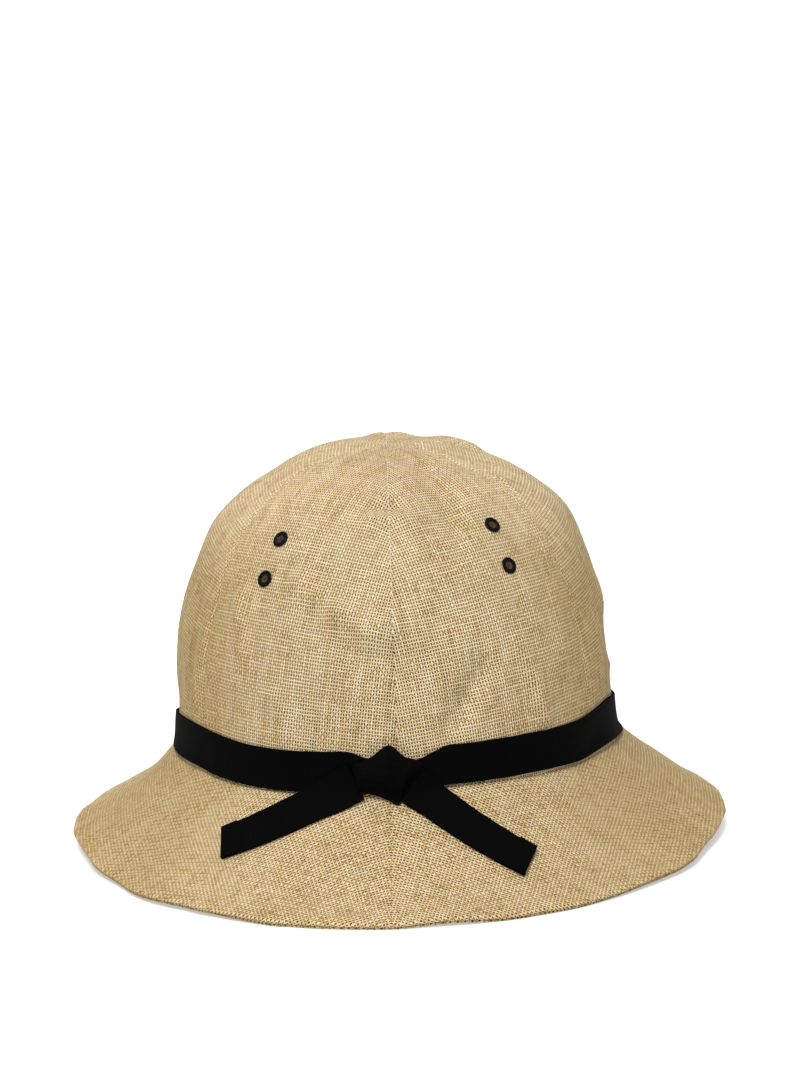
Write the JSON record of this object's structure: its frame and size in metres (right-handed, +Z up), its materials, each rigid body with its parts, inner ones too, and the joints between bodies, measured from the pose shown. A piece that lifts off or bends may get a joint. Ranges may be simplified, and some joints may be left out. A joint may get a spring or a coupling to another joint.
{
  "type": "cloche hat",
  "caption": "Soft gored cloche hat of straw-coloured woven cloth with a sloping brim, air eyelets and a black grosgrain ribbon knotted at the front.",
  "frame": {"origin": "on the table under the middle of the hat, at the height of the rim that it stands on", "axes": "+Z up through the top of the crown, +Y from the front of the hat, where the knot is, to its back, +X to the right as seen from the front"},
  "size_m": [0.2622, 0.2788, 0.1593],
  "materials": {
    "straw_cloth": "coarse plain-woven straw-coloured cloth, matte",
    "grosgrain": "black ribbed grosgrain ribbon, matte",
    "eyelet_enamel": "gloss black enamel"
  },
  "bodies": {
    "root": {"crown_front_right": "straw_cloth", "crown_side_right": "straw_cloth", "crown_back_right": "straw_cloth", "crown_back_left": "straw_cloth", "crown_side_left": "straw_cloth", "crown_front_left": "straw_cloth", "brim_right": "straw_cloth", "brim_left": "straw_cloth", "eyelet_upper_left": "eyelet_enamel", "eyelet_lower_left": "eyelet_enamel", "eyelet_upper_right": "eyelet_enamel", "eyelet_lower_right": "eyelet_enamel", "ribbon_band": "grosgrain", "ribbon_knot": "grosgrain", "ribbon_tail_left": "grosgrain", "ribbon_tail_right": "grosgrain"}
  },
  "joints": []
}
